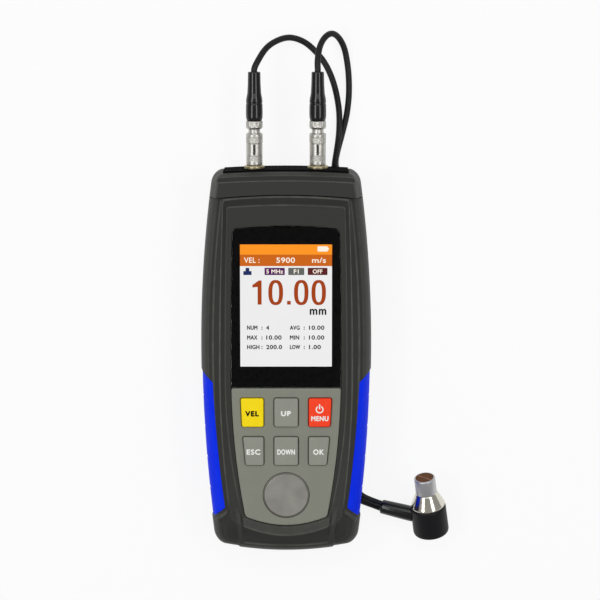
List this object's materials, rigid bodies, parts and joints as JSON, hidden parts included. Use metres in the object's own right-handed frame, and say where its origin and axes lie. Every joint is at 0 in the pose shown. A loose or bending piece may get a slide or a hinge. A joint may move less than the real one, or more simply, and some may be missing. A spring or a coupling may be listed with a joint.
{
  "type": "ultrasonic thickness gauge",
  "caption": "Hand-held ultrasonic thickness gauge with a colour screen, keypad, steel zero block and side grips, and a twin-element probe on a twin lead with push-pull plugs.",
  "frame": {"origin": "under the middle of the case and sockets, at the height of the back that it lies on", "axes": "+Z out of the screen, +Y towards the sockets, +X to the right of someone reading the screen"},
  "size_m": [0.1021, 0.2116, 0.03],
  "materials": {
    "case_abs": "fine moulded texture",
    "black_plate": "satin black",
    "clear_window": "clear, polished",
    "black_tape": "matt black",
    "screen_glass": "lit display under polarizer film",
    "keypad_abs": "fine moulded texture",
    "key_yellow": "matt",
    "key_red": "matt",
    "key_grey": "matt",
    "ground_steel": "ground face, chamfered edge",
    "grip_rubber": "satin",
    "board_laminate": "solder mask",
    "gold_pads": "plated",
    "screw_steel": "zinc plated",
    "cell_can": "shrink sleeve",
    "socket_brass": "plated",
    "plug_nickel": "satin nickel",
    "boot_rubber": "satin",
    "lead_jacket": "satin",
    "probe_rubber": "satin",
    "probe_steel": "turned and polished",
    "delay_resin": "ground flat",
    "barrier_cork": "ground flat"
  },
  "bodies": {
    "case": {"front_cover": "case_abs", "rear_cover": "case_abs", "top_cap": "case_abs", "end_plate": "black_plate", "window": "clear_window", "window_tape": "black_tape", "screen": "screen_glass", "keypad_panel": "keypad_abs", "zero_block": "ground_steel", "grip_left": "grip_rubber", "grip_right": "grip_rubber", "main_board": "board_laminate", "key_contacts": "gold_pads", "board_screws": "screw_steel", "case_screws": "screw_steel", "battery_springs": "screw_steel", "battery_plates": "screw_steel", "socket_nuts": "screw_steel", "cell_left": "cell_can", "cell_right": "cell_can", "socket_left": "socket_brass", "socket_right": "socket_brass", "plug_core_left": "plug_nickel", "plug_core_right": "plug_nickel", "plug_collet_left": "plug_nickel", "plug_collet_right": "plug_nickel", "plug_boot_left": "boot_rubber", "plug_boot_right": "boot_rubber", "probe_relief": "boot_rubber", "lead_left": "lead_jacket", "lead_right": "lead_jacket", "probe_cap": "probe_rubber", "probe_shell": "probe_steel", "delay_blocks": "delay_resin", "sound_barrier": "barrier_cork"},
    "key_velocity": {"key_velocity": "key_yellow"},
    "key_up": {"key_up": "key_grey"},
    "key_menu": {"key_menu": "key_red"},
    "key_escape": {"key_escape": "key_grey"},
    "key_down": {"key_down": "key_grey"},
    "key_ok": {"key_ok": "key_grey"},
    "plug_sleeve_left": {"plug_sleeve_left": "plug_nickel"},
    "plug_sleeve_right": {"plug_sleeve_right": "plug_nickel"},
    "battery_door": {"battery_door": "case_abs"}
  },
  "joints": [
    {"name": "key_velocity_press", "type": "slide", "parent": "case", "child": "key_velocity", "axis": [0, 0, -1], "range_m": [0, 0.0008], "stiffness_N_per_m": 400},
    {"name": "key_up_press", "type": "slide", "parent": "case", "child": "key_up", "axis": [0, 0, -1], "range_m": [0, 0.0008], "stiffness_N_per_m": 400},
    {"name": "key_menu_press", "type": "slide", "parent": "case", "child": "key_menu", "axis": [0, 0, -1], "range_m": [0, 0.0008], "stiffness_N_per_m": 400},
    {"name": "key_escape_press", "type": "slide", "parent": "case", "child": "key_escape", "axis": [0, 0, -1], "range_m": [0, 0.0008], "stiffness_N_per_m": 400},
    {"name": "key_down_press", "type": "slide", "parent": "case", "child": "key_down", "axis": [0, 0, -1], "range_m": [0, 0.0008], "stiffness_N_per_m": 400},
    {"name": "key_ok_press", "type": "slide", "parent": "case", "child": "key_ok", "axis": [0, 0, -1], "range_m": [0, 0.0008], "stiffness_N_per_m": 400},
    {"name": "plug_sleeve_left_slide", "type": "slide", "parent": "case", "child": "plug_sleeve_left", "axis": [0, 1, 0], "range_m": [0, 0.0014], "stiffness_N_per_m": 600},
    {"name": "plug_sleeve_right_slide", "type": "slide", "parent": "case", "child": "plug_sleeve_right", "axis": [0, 1, 0], "range_m": [0, 0.0014], "stiffness_N_per_m": 600},
    {"name": "battery_door_slide", "type": "slide", "parent": "case", "child": "battery_door", "axis": [0, -1, 0], "range_m": [0, 0.066]}
  ]
}
